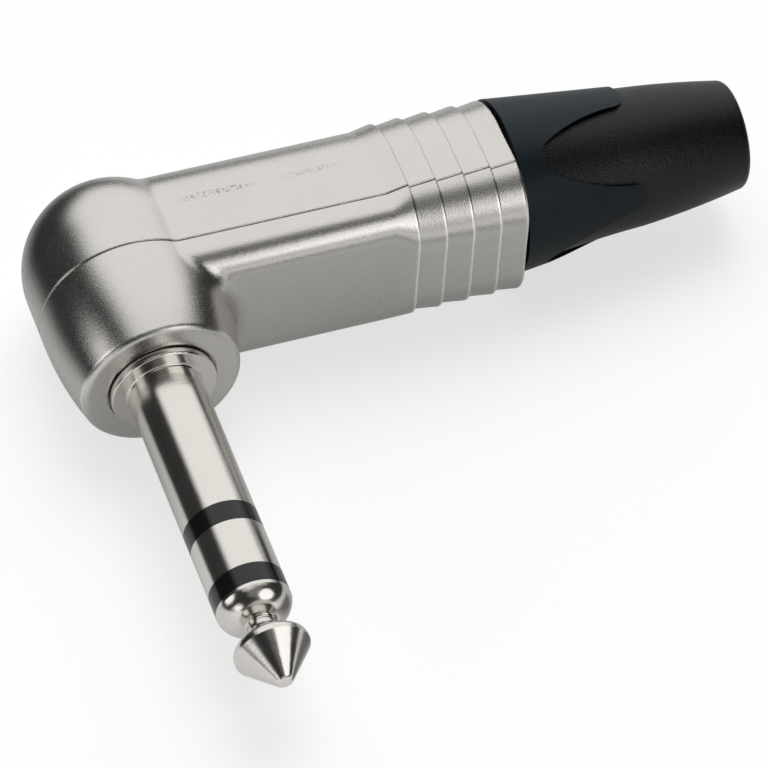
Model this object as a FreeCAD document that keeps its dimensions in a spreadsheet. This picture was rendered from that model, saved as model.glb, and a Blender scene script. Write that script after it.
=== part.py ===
"""Right-angle stereo jack plug, 6.35 mm, three contacts, with a screwed cable boot.

Millimetres. The origin is where the axis of the plug finger meets the flat
shoulder that stops against a socket. The finger points along -Y, the barrel
with the cable entry along +X, and the plug lies on its side, so +Z is up.
"""
import FreeCAD, Part
import Sketcher
import math
import os
from collections import namedtuple

Vector = FreeCAD.Vector
Rotation = FreeCAD.Rotation
Placement = FreeCAD.Placement

doc = FreeCAD.newDocument("jack_plug")

# Driving sizes, each set once
SIZES = {
    # Plug finger: four bands along its axis, then the tip
    "finger_radius": 3.175,
    "sleeve_length": 15.5,
    "sleeve_band": 1.97,
    "ring_length": 4.57,
    "ring_band": 1.89,
    "tip_rim": 0.3,
    "tip_shoulder_depth": 1.6,
    "tip_shoulder_bend": 2.2,
    "tip_neck_radius": 1.25,
    "tip_neck_length": 0.85,
    "tip_flare": 1.55,
    "tip_equator": 0.6,
    "tip_cone": 3.2,
    "tip_end_radius": 0.62,
    "tip_end_round": 0.5,
    "tip_neck_round": 0.25,
    "tip_equator_round": 0.7,
    # Tubes nested in the finger, from the rod outwards
    "rod_radius": 0.8,
    "tip_tube_wall": 0.45,
    "ring_tube_wall": 0.5,
    "sleeve_tube_wall": 0.55,
    # Collar of the sleeve in the shoulder, and its flange inside the shell
    "collar_radius": 4.54,
    "collar_rise": 0.7,
    "collar_gap": 0.14,
    "collar_gap_depth": 0.8,
    "collar_edge": 0.18,
    "collar_root_round": 0.22,
    "sleeve_flange_gap": 0.8,
    "sleeve_flange_thick": 1.2,
    # Solder lugs and the washers between them
    "lug_thick": 0.5,
    "lug_disc_radius": 3.6,
    "lug_width": 2.0,
    "lug_spread": 2.4,
    "lug_riser_reach": 4.0,
    "lug_tail_end": 13.0,
    "lug_hole_radius": 0.55,
    "lug_hole_margin": 1.1,
    "side_tail_level": 11.0,
    "tip_tail_level": 12.6,
    "tip_lug_riser_reach": 3.2,
    "washer_radius": 2.9,
    "washer_thick": 1.5,
    "flare_radius": 2.3,
    "flare_thick": 0.3,
    "rivet_radius": 1.5,
    "rivet_thick": 0.5,
    # Head of the shell, round about the finger
    "seam_level": 8.92,
    "head_taper": 1.07,
    "shoulder_round": 0.55,
    "neck_step": 1.02,
    "flank_level": 8.0,
    "dome_level": 12.85,
    "neck_round": 1.8,
    "shoulder_wall": 2.0,
    "head_wall": 1.62,
    # Barrel of the shell
    "barrel_axis": 12.6,
    "barrel_side": 6.8,
    "barrel_face_rise": 0.2,
    "barrel_corner": 2.3,
    "barrel_back_shift": 0.5,
    "barrel_wall": 1.4,
    "barrel_bore_end": 24.2,
    # Grip rings, saw-toothed along the barrel
    "rings_start": 21.7,
    "ring_pitch": 2.4,
    "ring_count": 5,
    "ring_face_rise": 0.65,
    "ring_side_rise": 0.5,
    "ring_crest_corner": 4.4,
    "ring_step": 0.3,
    "ring_back_shift": 0.3,
    "first_ring_lead": 0.5,
    "crest_round": 0.12,
    "rim_round": 0.3,
    # Threaded spigot behind the rim, made by both halves
    "thread_radius": 5.3,
    "thread_depth": 0.35,
    "thread_land": 0.6,
    "spigot_length": 6.1,
    "seam_chamfer": 0.1,
    # Insulating liner
    "liner_wall": 0.4,
    "liner_fit": 0.05,
    "liner_start": 8.0,
    # Strain-relief chuck
    "chuck_radius": 4.1,
    "chuck_fit": 0.1,
    "chuck_end_gap": 0.3,
    "chuck_bore_radius": 3.3,
    "chuck_length": 16.8,
    "chuck_cone_length": 0.9,
    "chuck_cone_drop": 0.35,
    "chuck_slot_width": 0.9,
    "chuck_slot_length": 11.5,
    "chuck_slot_sweep": 90,
    "chuck_slot_count": 2,
    "chuck_tooth_height": 0.3,
    "chuck_tooth_width": 0.8,
    "chuck_tooth_pitch": 2.2,
    "chuck_tooth_count": 4,
    "key_width": 1.6,
    "key_length": 2.7,
    "key_height": 0.7,
    "key_fit": 0.1,
    "boot_travel": 6.0,
    "cut_overrun": 1.0,
    # Boot: hard collar scalloped into fingers, soft gland moulded round them
    "boot_gap": 0.2,
    "boot_wall": 2.13,
    "boot_taper": 0.115,
    "thread_fit": 0.1,
    "collar_core_end": 41.5,
    "core_overlap": 0.05,
    "boot_thread_end": 40.3,
    "jaw_gap": 0.2,
    "finger_layer": 0.9,
    "finger_end": 45.0,
    "finger_turn": 28.5,
    "scallop_count": 3,
    "scallop_sweep": 180,
    "scallop_nose": 36.1,
    "scallop_nose_radius": 1.75,
    "scallop_nose_lean": 29.0,
    "scallop_flank_end": 43.7,
    "scallop_flank_inset": 0.93,
    "finger_tip_radius": 1.15,
    "gland_step": 0.61,
    "gland_waist_drop": 0.94,
    "gland_end_drop": 1.32,
    "gland_sweep_radius": 88.0,
    "gland_front": 35.3,
    "gland_waist": 45.5,
    "gland_end": 55.0,
    "gland_root_wall": 0.2,
    "gland_bore_radius": 3.6,
    "gland_end_round": 0.6,
    "gland_mouth": 0.3,
}

# Places and radii worked out from the driving sizes
PLACES = {
    "ring_back": "sizes.sleeve_length + sizes.sleeve_band",
    "ring_front": "ring_back + sizes.ring_length",
    "tip_back": "ring_front + sizes.ring_band",
    "tip_rim_front": "tip_back + sizes.tip_rim",
    "tip_shoulder_radius": "sizes.finger_radius - sizes.tip_shoulder_depth",
    "tip_neck_back": "tip_rim_front + sizes.tip_shoulder_depth",
    "tip_neck_front": "tip_neck_back + sizes.tip_neck_length",
    "tip_equator_back": "tip_neck_front + sizes.tip_flare",
    "tip_equator_front": "tip_equator_back + sizes.tip_equator",
    "tip_end": "tip_equator_front + sizes.tip_cone",
    "tip_tube_radius": "sizes.rod_radius + sizes.tip_tube_wall",
    "ring_tube_radius": "tip_tube_radius + sizes.ring_tube_wall",
    "sleeve_tube_radius": "ring_tube_radius + sizes.sleeve_tube_wall",
    "collar_seat_radius": "sizes.collar_radius + sizes.collar_gap",
    "sleeve_flange_top": "sizes.shoulder_wall + sizes.sleeve_flange_thick",
    "sleeve_lug_top": "sleeve_flange_top + sizes.lug_thick",
    "ring_washer_top": "sleeve_lug_top + sizes.washer_thick",
    "ring_lug_top": "ring_washer_top + sizes.lug_thick",
    "ring_flare_top": "ring_lug_top + sizes.flare_thick",
    "tip_washer_top": "ring_lug_top + sizes.washer_thick",
    "tip_lug_top": "tip_washer_top + sizes.lug_thick",
    "rivet_top": "tip_lug_top + sizes.rivet_thick",
    "lug_riser_back": "sizes.lug_riser_reach + sizes.lug_thick",
    "tip_lug_riser_back": "sizes.tip_lug_riser_reach + sizes.lug_thick",
    "side_tail_top": "sizes.side_tail_level + sizes.lug_thick",
    "tip_tail_top": "sizes.tip_tail_level + sizes.lug_thick",
    "lug_hole_place": "sizes.lug_tail_end - sizes.lug_hole_margin",
    "head_radius": "sizes.barrel_side + sizes.neck_step",
    "shoulder_radius": "head_radius - sizes.head_taper",
    "head_flank_radius": "(sizes.flank_level^2 + sizes.head_taper^2) / (2 * sizes.head_taper)",
    "head_bore_radius": "head_radius - sizes.head_wall",
    "sleeve_flange_radius": "head_bore_radius - sizes.sleeve_flange_gap",
    "dome_top": "sizes.dome_level + head_radius",
    "head_bore_top": "sizes.dome_level + head_bore_radius",
    "barrel_face_offset": "sizes.barrel_side + sizes.barrel_face_rise",
    "barrel_bore_radius": "sizes.barrel_side - sizes.barrel_wall",
    "ring_crest_offset": "barrel_face_offset + sizes.ring_face_rise",
    "ring_crest_side": "sizes.barrel_side + sizes.ring_side_rise",
    "barrel_face": "sizes.barrel_axis - barrel_face_offset",
    "barrel_corner_y": "barrel_face + sizes.barrel_corner",
    "barrel_corner_z": "sizes.barrel_side - sizes.barrel_corner",
    "barrel_back": "sizes.barrel_axis + sizes.barrel_back_shift",
    "rings_length": "sizes.ring_pitch * sizes.ring_count",
    "repeated_rings": "sizes.ring_count - 1",
    "rings_span": "sizes.ring_pitch * (repeated_rings - 1)",
    "first_ring_start": "sizes.rings_start + sizes.first_ring_lead",
    "first_ring_end": "sizes.rings_start + sizes.ring_pitch",
    "second_ring_end": "first_ring_end + sizes.ring_pitch",
    "rim": "sizes.rings_start + rings_length",
    "crest_face": "sizes.barrel_axis - ring_crest_offset",
    "crest_corner_y": "crest_face + sizes.ring_crest_corner",
    "crest_corner_z": "ring_crest_side - sizes.ring_crest_corner",
    "ring_back_y": "sizes.barrel_axis + sizes.ring_back_shift",
    "trough_face": "crest_face + sizes.ring_step",
    "trough_side": "ring_crest_side - sizes.ring_step",
    "trough_corner": "sizes.ring_crest_corner - sizes.ring_step",
    "trough_corner_y": "trough_face + trough_corner",
    "trough_corner_z": "trough_side - trough_corner",
    "spigot_end": "rim + sizes.spigot_length",
    "thread_core": "sizes.thread_radius - sizes.thread_depth",
    "front_land_end": "rim + sizes.boot_gap + sizes.thread_land",
    "rear_land_start": "spigot_end - sizes.thread_land",
    "spigot_land_edge": "sizes.barrel_axis + sizes.thread_radius",
    "spigot_core_edge": "sizes.barrel_axis + thread_core",
    "chuck_seat_radius": "sizes.chuck_radius + sizes.chuck_fit",
    "barrel_bore_edge": "sizes.barrel_axis + barrel_bore_radius",
    "chuck_seat_edge": "sizes.barrel_axis + chuck_seat_radius",
    "bore_beyond": "spigot_end + sizes.cut_overrun",
    "chuck_front": "sizes.barrel_bore_end + sizes.chuck_end_gap",
    "chuck_back": "chuck_front + sizes.chuck_length",
    "chuck_cone_start": "chuck_back - sizes.chuck_cone_length",
    "chuck_end_radius": "sizes.chuck_radius - sizes.chuck_cone_drop",
    "chuck_slot_start": "chuck_back - sizes.chuck_slot_length",
    "chuck_beyond": "chuck_back + sizes.cut_overrun",
    "chuck_slot_half": "sizes.chuck_slot_width / 2",
    "chuck_tooth_root": "sizes.chuck_bore_radius + sizes.chuck_tooth_height",
    "chuck_tooth_crest": "sizes.chuck_bore_radius - sizes.chuck_tooth_height",
    "chuck_tooth_back": "chuck_back - sizes.chuck_tooth_width",
    "chuck_tooth_front": "chuck_tooth_back - sizes.chuck_tooth_width",
    "chuck_tooth_span": "sizes.chuck_tooth_pitch * (sizes.chuck_tooth_count - 1)",
    "key_back": "chuck_front + sizes.key_length",
    "key_half": "sizes.key_width / 2",
    "key_span": "2 * (sizes.chuck_radius + sizes.key_height)",
    "keyway_end": "key_back + sizes.boot_travel + sizes.key_fit",
    "keyway_low": "sizes.barrel_axis - key_half - sizes.key_fit",
    "keyway_high": "sizes.barrel_axis + key_half + sizes.key_fit",
    "keyway_span": "key_span + 2 * sizes.key_fit",
    "liner_radius": "barrel_bore_radius - sizes.liner_fit",
    "liner_bore": "liner_radius - sizes.liner_wall",
    "liner_length": "sizes.barrel_bore_end - sizes.liner_start",
    "boot_front": "rim + sizes.boot_gap",
    "boot_thread_radius": "sizes.thread_radius + sizes.thread_fit",
    "boot_front_radius": "boot_thread_radius + sizes.boot_wall",
    "finger_end_radius": "boot_front_radius - sizes.boot_taper * (sizes.finger_end - boot_front)",
    "layer_front_radius": "boot_front_radius - sizes.finger_layer",
    "layer_end_radius": "finger_end_radius - sizes.finger_layer",
    "core_front_radius": "layer_front_radius + sizes.core_overlap",
    "core_end_radius": "core_front_radius - sizes.boot_taper * (sizes.collar_core_end - boot_front)",
    "seat_front_radius": "sizes.chuck_radius + sizes.jaw_gap",
    "seat_end_radius": "chuck_end_radius + sizes.jaw_gap",
    "scallop_nose_centre": "sizes.scallop_nose + sizes.scallop_nose_radius",
    "scallop_lean": "sizes.scallop_nose_lean * 1 deg",
    "scallop_flank_start": "scallop_nose_centre - sizes.scallop_nose_radius * sin(scallop_lean)",
    "scallop_flank_root": "sizes.scallop_nose_radius * cos(scallop_lean)",
    "scallop_half": "finger_end_radius * sin(45 deg)",
    "scallop_flank_half": "scallop_half - sizes.scallop_flank_inset",
    "scallop_run": "sizes.scallop_flank_end - scallop_flank_start",
    "scallop_rise": "scallop_flank_half - scallop_flank_root",
    "scallop_bow": "scallop_run * sin(scallop_lean) - scallop_rise * cos(scallop_lean)",
    "scallop_flank_radius": "(scallop_run * scallop_run + scallop_rise * scallop_rise) / (2 * scallop_bow)",
    "scallop_beyond": "sizes.finger_end + sizes.cut_overrun",
    "gland_front_radius": "boot_front_radius - sizes.gland_step",
    "gland_waist_radius": "gland_front_radius - sizes.gland_waist_drop",
    "gland_end_radius": "gland_waist_radius - sizes.gland_end_drop",
    "gland_root_radius": "boot_thread_radius + sizes.gland_root_wall",
    "half_block": "4 * head_radius",
    "block_length": "spigot_end + half_block",
    "cover_block_start": "sizes.seam_level",
    "base_block_start": "sizes.seam_level - half_block",
}


def fill_sheet(name, cells, prefix=""):
    """A spreadsheet with one named value to a row."""
    sheet = doc.addObject("Spreadsheet::Sheet", name)
    for row, (alias, content) in enumerate(cells.items(), start=1):
        sheet.set("A%d" % row, alias)
        sheet.set("B%d" % row, prefix + str(content))
        sheet.setAlias("B%d" % row, alias)
    return sheet


sizes = fill_sheet("sizes", SIZES)
places = fill_sheet("places", PLACES, prefix="=")
doc.recompute()


def bare(name):
    """A value's own name, without the sign before it."""
    return name.lstrip("-")


def number(name):
    """The present value of a named size, or of its negative."""
    if name == "0":
        return 0.0
    sheet = sizes if bare(name) in SIZES else places
    value = float(sheet.get(bare(name)))
    return -value if name.startswith("-") else value


def formula(name):
    """The expression that binds a property to a named size."""
    sheet = "sizes" if bare(name) in SIZES else "places"
    sign = "-" if name.startswith("-") else ""
    return "%s%s.%s" % (sign, sheet, bare(name))


# An edge of an outline that isn't straight: turn is 1 anticlockwise, -1 clockwise
Arc = namedtuple("Arc", "x y turn")
Bend = namedtuple("Bend", "radius turn")


def origin_feature(body, role):
    """The plane or axis of a body's own origin that has this role."""
    return [part for part in body.Origin.OriginFeatures if part.Role == role][0]


def add_body(label):
    body = doc.addObject("PartDesign::Body", label)
    body.Label = label
    return body


def add_sketch(body, name, role, offset="0"):
    """An empty sketch on an origin plane of the body, moved along its normal."""
    sketch = body.newObject("Sketcher::SketchObject", name)
    sketch.AttachmentSupport = [(origin_feature(body, role), "")]
    sketch.MapMode = "FlatFace"
    if offset != "0":
        sketch.AttachmentOffset = Placement(Vector(0, 0, number(offset)), Rotation())
        sketch.setExpression("AttachmentOffset.Base.z", formula(offset))
    return sketch


def pin_point(sketch, edge, end, x, y):
    """Hold a point at named distances from the sketch's origin, each unless None."""
    for name, kind, axis in ((x, "DistanceX", -2), (y, "DistanceY", -1)):
        if name is None:
            continue
        if name == "0":
            sketch.addConstraint(Sketcher.Constraint("PointOnObject", edge, end, axis))
        else:
            rule = Sketcher.Constraint(kind, -1, 1, edge, end, number(name))
            index = sketch.addConstraint(rule)
            sketch.setExpression("Constraints[%d]" % index, formula(name))


def arc_centre(start, end, radius, turn):
    """The centre of the shorter arc between two points."""
    chord = end - start
    rise = math.sqrt(max(radius**2 - (chord.Length / 2)**2, 0.0))
    left = Vector(-chord.y, chord.x, 0).normalize()
    return (start + end) * 0.5 + left * (rise * turn)


def add_edge(sketch, start, end, shape):
    """Draw one edge, and return its index and the ends that start and finish it."""
    if shape is None:
        return sketch.addGeometry(Part.LineSegment(start, end)), 1, 2
    if isinstance(shape, Arc):
        centre = Vector(number(shape.x), number(shape.y), 0)
    else:
        centre = arc_centre(start, end, number(shape.radius), shape.turn)
    first, last = (start, end) if shape.turn > 0 else (end, start)
    first_angle = math.atan2(first.y - centre.y, first.x - centre.x)
    last_angle = math.atan2(last.y - centre.y, last.x - centre.x)
    circle = Part.Circle(centre, Vector(0, 0, 1), (start - centre).Length)
    edge = sketch.addGeometry(Part.ArcOfCircle(circle, first_angle, last_angle))
    return (edge, 1, 2) if shape.turn > 0 else (edge, 2, 1)


def hold_arc(sketch, edge, start, end, shape):
    """Fix the last freedom of an arc whose two ends are held."""
    if isinstance(shape, Bend):
        rule = Sketcher.Constraint("Radius", edge, number(shape.radius))
        index = sketch.addConstraint(rule)
        sketch.setExpression("Constraints[%d]" % index, formula(shape.radius))
    elif abs(end.y - start.y) > abs(end.x - start.x):
        pin_point(sketch, edge, 3, shape.x, None)
    else:
        pin_point(sketch, edge, 3, None, shape.y)


def outline(sketch, steps):
    """Close an outline through named corners, with an arc where one stands between two."""
    corners = []
    shapes = []
    for step in steps:
        if isinstance(step, (Arc, Bend)):
            shapes[-1] = step
        else:
            corners.append(step)
            shapes.append(None)
    points = [Vector(number(x), number(y), 0) for x, y in corners]
    edges = []
    for i, shape in enumerate(shapes):
        following = points[(i + 1) % len(points)]
        edges.append(add_edge(sketch, points[i], following, shape))
    for i, (edge, start, end) in enumerate(edges):
        next_edge, next_start, next_end = edges[(i + 1) % len(edges)]
        sketch.addConstraint(Sketcher.Constraint("Coincident", edge, end, next_edge, next_start))
        pin_point(sketch, edge, start, *corners[i])
    for i, shape in enumerate(shapes):
        if shape is not None:
            hold_arc(sketch, edges[i][0], points[i], points[(i + 1) % len(points)], shape)


def rectangle(sketch, x_low, x_high, y_low, y_high):
    outline(sketch, [(x_low, y_low), (x_high, y_low), (x_high, y_high), (x_low, y_high)])


def circle(sketch, x, y, radius):
    edge = sketch.addGeometry(
        Part.Circle(Vector(number(x), number(y), 0), Vector(0, 0, 1), number(radius)))
    pin_point(sketch, edge, 3, x, y)
    index = sketch.addConstraint(Sketcher.Constraint("Radius", edge, number(radius)))
    sketch.setExpression("Constraints[%d]" % index, formula(radius))


def axis_line(sketch, x_end, y):
    """A construction line along X at a named height, to turn a profile about."""
    line = Part.LineSegment(Vector(0, number(y), 0), Vector(number(x_end), number(y), 0))
    edge = sketch.addGeometry(line, True)
    pin_point(sketch, edge, 1, "0", y)
    pin_point(sketch, edge, 2, x_end, y)


def turned(body, name, sketch, axis, cut=False):
    """A full turn of a sketch about one of its axes, added or cut."""
    kind = "PartDesign::Groove" if cut else "PartDesign::Revolution"
    feature = body.newObject(kind, name)
    feature.Profile = (sketch, [""])
    feature.ReferenceAxis = (sketch, [axis])
    feature.Angle = 360
    return feature


def raised(body, name, sketch, length, centred=False, reverse=False, cut=False):
    """A sketch made solid along its normal, added or cut."""
    kind = "PartDesign::Pocket" if cut else "PartDesign::Pad"
    feature = body.newObject(kind, name)
    feature.Profile = (sketch, [""])
    feature.Length = number(length)
    feature.setExpression("Length", formula(length))
    if centred:
        feature.SideType = "Symmetric"
    feature.Reversed = reverse
    return feature


def ring_edges(shape, axis, radius, place):
    """Names of the circular edges about an axis with this radius, at this place on it."""
    found = []
    for i, edge in enumerate(shape.Edges, start=1):
        if edge.Degenerated:
            continue
        curve = edge.Curve
        if not isinstance(curve, Part.Circle) or abs(curve.Axis.dot(axis)) < 0.999:
            continue
        if abs(curve.Radius - radius) < 1e-4 and abs(curve.Center.dot(axis) - place) < 1e-4:
            found.append("Edge%d" % i)
    return found


def meeting_edges(shape, first, second):
    """Names of the edges of a shape where the surfaces of two others cross."""
    found = []
    for i, edge in enumerate(shape.Edges, start=1):
        if edge.Degenerated:
            continue
        middle = edge.valueAt((edge.FirstParameter + edge.LastParameter) / 2)
        gaps = [Part.Vertex(middle).distToShape(part.Shells[0])[0] for part in (first, second)]
        if max(gaps) < 1e-4:
            found.append("Edge%d" % i)
    return found


def crest_edges(shape, crest, places):
    """Names of the edges round the crests of the grip rings, at these places along the barrel."""
    found = []
    for i, edge in enumerate(shape.Edges, start=1):
        middle = edge.valueAt((edge.FirstParameter + edge.LastParameter) / 2)
        across = edge.BoundBox.XLength < 1e-4
        if not across or min(abs(middle.x - place) for place in places) > 1e-4:
            continue
        middle.x = crest.BoundBox.XMin
        if Part.Vertex(middle).distToShape(crest)[0] < 1e-4:
            found.append("Edge%d" % i)
    return found


def dress(body, kind, name, size, edges):
    """A fillet or a chamfer on edges of the body as it stands."""
    feature = body.newObject("PartDesign::" + kind, name)
    feature.Base = (body.Group[-2], edges)
    prop = "Radius" if kind == "Fillet" else "Size"
    setattr(feature, prop, number(size))
    feature.setExpression(prop, formula(size))
    doc.recompute()
    return feature


def dress_rings(body, kind, name, size, axis, rings):
    """A fillet or a chamfer on circular edges, each given by its radius and place."""
    doc.recompute()
    edges = []
    for radius, place in rings:
        edges += ring_edges(body.Shape, axis, number(radius), number(place))
    return dress(body, kind, name, size, edges)


def turned_body(label, role, axis, steps):
    """A body that is one profile turned about an axis of its sketch."""
    body = add_body(label)
    sketch = add_sketch(body, label + "_profile", role)
    outline(sketch, steps)
    turned(body, label + "_turn", sketch, axis)
    return body


ALONG_FINGER = Vector(0, 1, 0)
ALONG_BARREL = Vector(1, 0, 0)


def make_sleeve():
    """Turned sleeve contact, with its collar in the shoulder and a flange inside the shell."""
    body = turned_body("plug_sleeve", "XY_Plane", "V_Axis", [
        ("sleeve_tube_radius", "-sleeve_length"),
        ("finger_radius", "-sleeve_length"),
        ("finger_radius", "-collar_rise"),
        ("collar_radius", "-collar_rise"),
        ("collar_radius", "collar_gap_depth"),
        ("collar_seat_radius", "collar_gap_depth"),
        ("collar_seat_radius", "shoulder_wall"),
        ("sleeve_flange_radius", "shoulder_wall"),
        ("sleeve_flange_radius", "sleeve_flange_top"),
        ("sleeve_tube_radius", "sleeve_flange_top"),
    ])
    dress_rings(body, "Fillet", "collar_root", "collar_root_round", ALONG_FINGER,
                [("finger_radius", "-collar_rise")])
    dress_rings(body, "Fillet", "collar_lip", "collar_edge", ALONG_FINGER,
                [("collar_radius", "-collar_rise")])
    return body


def make_sleeve_insulator():
    """Moulded band between sleeve and ring, with the tube that lines the sleeve."""
    return turned_body("sleeve_insulator", "XY_Plane", "V_Axis", [
        ("ring_tube_radius", "-ring_back"),
        ("finger_radius", "-ring_back"),
        ("finger_radius", "-sleeve_length"),
        ("sleeve_tube_radius", "-sleeve_length"),
        ("sleeve_tube_radius", "ring_washer_top"),
        ("ring_tube_radius", "ring_washer_top"),
    ])


def make_ring_contact():
    """Turned ring contact, whose tube is flared over its lug."""
    return turned_body("ring_contact", "XY_Plane", "V_Axis", [
        ("tip_tube_radius", "-ring_front"),
        ("finger_radius", "-ring_front"),
        ("finger_radius", "-ring_back"),
        ("ring_tube_radius", "-ring_back"),
        ("ring_tube_radius", "ring_lug_top"),
        ("flare_radius", "ring_lug_top"),
        ("flare_radius", "ring_flare_top"),
        ("tip_tube_radius", "ring_flare_top"),
    ])


def make_tip_insulator():
    """Moulded band between ring and tip, with the tube that lines the ring contact."""
    return turned_body("tip_insulator", "XY_Plane", "V_Axis", [
        ("rod_radius", "-tip_back"),
        ("finger_radius", "-tip_back"),
        ("finger_radius", "-ring_front"),
        ("tip_tube_radius", "-ring_front"),
        ("tip_tube_radius", "tip_washer_top"),
        ("rod_radius", "tip_washer_top"),
    ])


def make_tip_contact():
    """Turned tip with its waist and cone, on the rod riveted over the tip lug."""
    body = turned_body("tip_contact", "XY_Plane", "V_Axis", [
        ("0", "-tip_end"),
        ("tip_end_radius", "-tip_end"),
        ("finger_radius", "-tip_equator_front"),
        ("finger_radius", "-tip_equator_back"),
        ("tip_neck_radius", "-tip_neck_front"),
        ("tip_neck_radius", "-tip_neck_back"),
        ("tip_shoulder_radius", "-tip_neck_back"),
        Bend("tip_shoulder_bend", 1),
        ("finger_radius", "-tip_rim_front"),
        ("finger_radius", "-tip_back"),
        ("rod_radius", "-tip_back"),
        ("rod_radius", "tip_lug_top"),
        ("rivet_radius", "tip_lug_top"),
        ("rivet_radius", "rivet_top"),
        ("0", "rivet_top"),
    ])
    dress_rings(body, "Fillet", "tip_equator_rounds", "tip_equator_round", ALONG_FINGER,
                [("finger_radius", "-tip_equator_back")])
    dress_rings(body, "Fillet", "tip_neck_rounds", "tip_neck_round", ALONG_FINGER,
                [("tip_neck_radius", "-tip_neck_front"), ("tip_neck_radius", "-tip_neck_back")])
    dress_rings(body, "Fillet", "tip_end_rounding", "tip_end_round", ALONG_FINGER,
                [("tip_end_radius", "-tip_end")])
    return body


def make_lug(label, bore, bottom, top, tail, riser, spread):
    """Stamped solder lug: a disc on the contact, a riser, and a tail with a hole."""
    body = add_body(label)
    riser_front, riser_back = riser
    tail_bottom, tail_top = tail
    strip = add_sketch(body, label + "_strip", "XY_Plane", spread)
    outline(strip, [
        ("0", bottom),
        (riser_back, bottom),
        (riser_back, tail_bottom),
        ("lug_tail_end", tail_bottom),
        ("lug_tail_end", tail_top),
        (riser_front, tail_top),
        (riser_front, top),
        ("0", top),
    ])
    raised(body, label + "_bend", strip, "lug_width", centred=True)
    disc = add_sketch(body, label + "_disc", "XY_Plane")
    outline(disc, [("0", bottom), ("lug_disc_radius", bottom), ("lug_disc_radius", top), ("0", top)])
    turned(body, label + "_washer", disc, "V_Axis")
    hole = add_sketch(body, label + "_bore", "XY_Plane")
    outline(hole, [("0", bottom), (bore, bottom), (bore, top), ("0", top)])
    turned(body, label + "_opening", hole, "V_Axis", cut=True)
    eye = add_sketch(body, label + "_eye", "XZ_Plane")
    circle(eye, "lug_hole_place", spread, "lug_hole_radius")
    raised(body, label + "_eyelet", eye, "half_block", reverse=True, cut=True)
    return body


def make_ring_washer():
    """Insulating washer between the sleeve's lug and the ring's."""
    return turned_body("ring_lug_washer", "XY_Plane", "V_Axis", [
        ("sleeve_tube_radius", "sleeve_lug_top"),
        ("washer_radius", "sleeve_lug_top"),
        ("washer_radius", "ring_washer_top"),
        ("sleeve_tube_radius", "ring_washer_top"),
    ])


def make_tip_washer():
    """Insulating washer between the ring's lug and the tip's, recessed over the flare."""
    return turned_body("tip_lug_washer", "XY_Plane", "V_Axis", [
        ("flare_radius", "ring_lug_top"),
        ("washer_radius", "ring_lug_top"),
        ("washer_radius", "tip_washer_top"),
        ("tip_tube_radius", "tip_washer_top"),
        ("tip_tube_radius", "ring_flare_top"),
        ("flare_radius", "ring_flare_top"),
    ])


def d_section(body, name, place, face, side, corner, corner_y, corner_z, back):
    """Barrel section: flat to the finger, rounded corners, flat sides, half-round back."""
    sketch = add_sketch(body, name, "YZ_Plane", place)
    outline(sketch, [
        (face, "-" + corner_z),
        (face, corner_z),
        Arc(corner_y, corner_z, -1),
        (corner_y, side),
        (back, side),
        Arc(back, "0", -1),
        (back, "-" + side),
        (corner_y, "-" + side),
        Arc(corner_y, "-" + corner_z, -1),
    ])
    return sketch


def barrel_section(body, name, place):
    return d_section(body, name, place, "barrel_face", "barrel_side", "barrel_corner",
                     "barrel_corner_y", "barrel_corner_z", "barrel_back")


def crest_section(body, name, place):
    return d_section(body, name, place, "crest_face", "ring_crest_side", "ring_crest_corner",
                     "crest_corner_y", "crest_corner_z", "ring_back_y")


def trough_section(body, name, place):
    return d_section(body, name, place, "trough_face", "trough_side", "trough_corner",
                     "trough_corner_y", "trough_corner_z", "ring_back_y")


def lofted(body, name, first, last):
    feature = body.newObject("PartDesign::AdditiveLoft", name)
    feature.Profile = (first, [""])
    feature.Sections = [(last, [""])]
    feature.Ruled = True
    return feature


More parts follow.
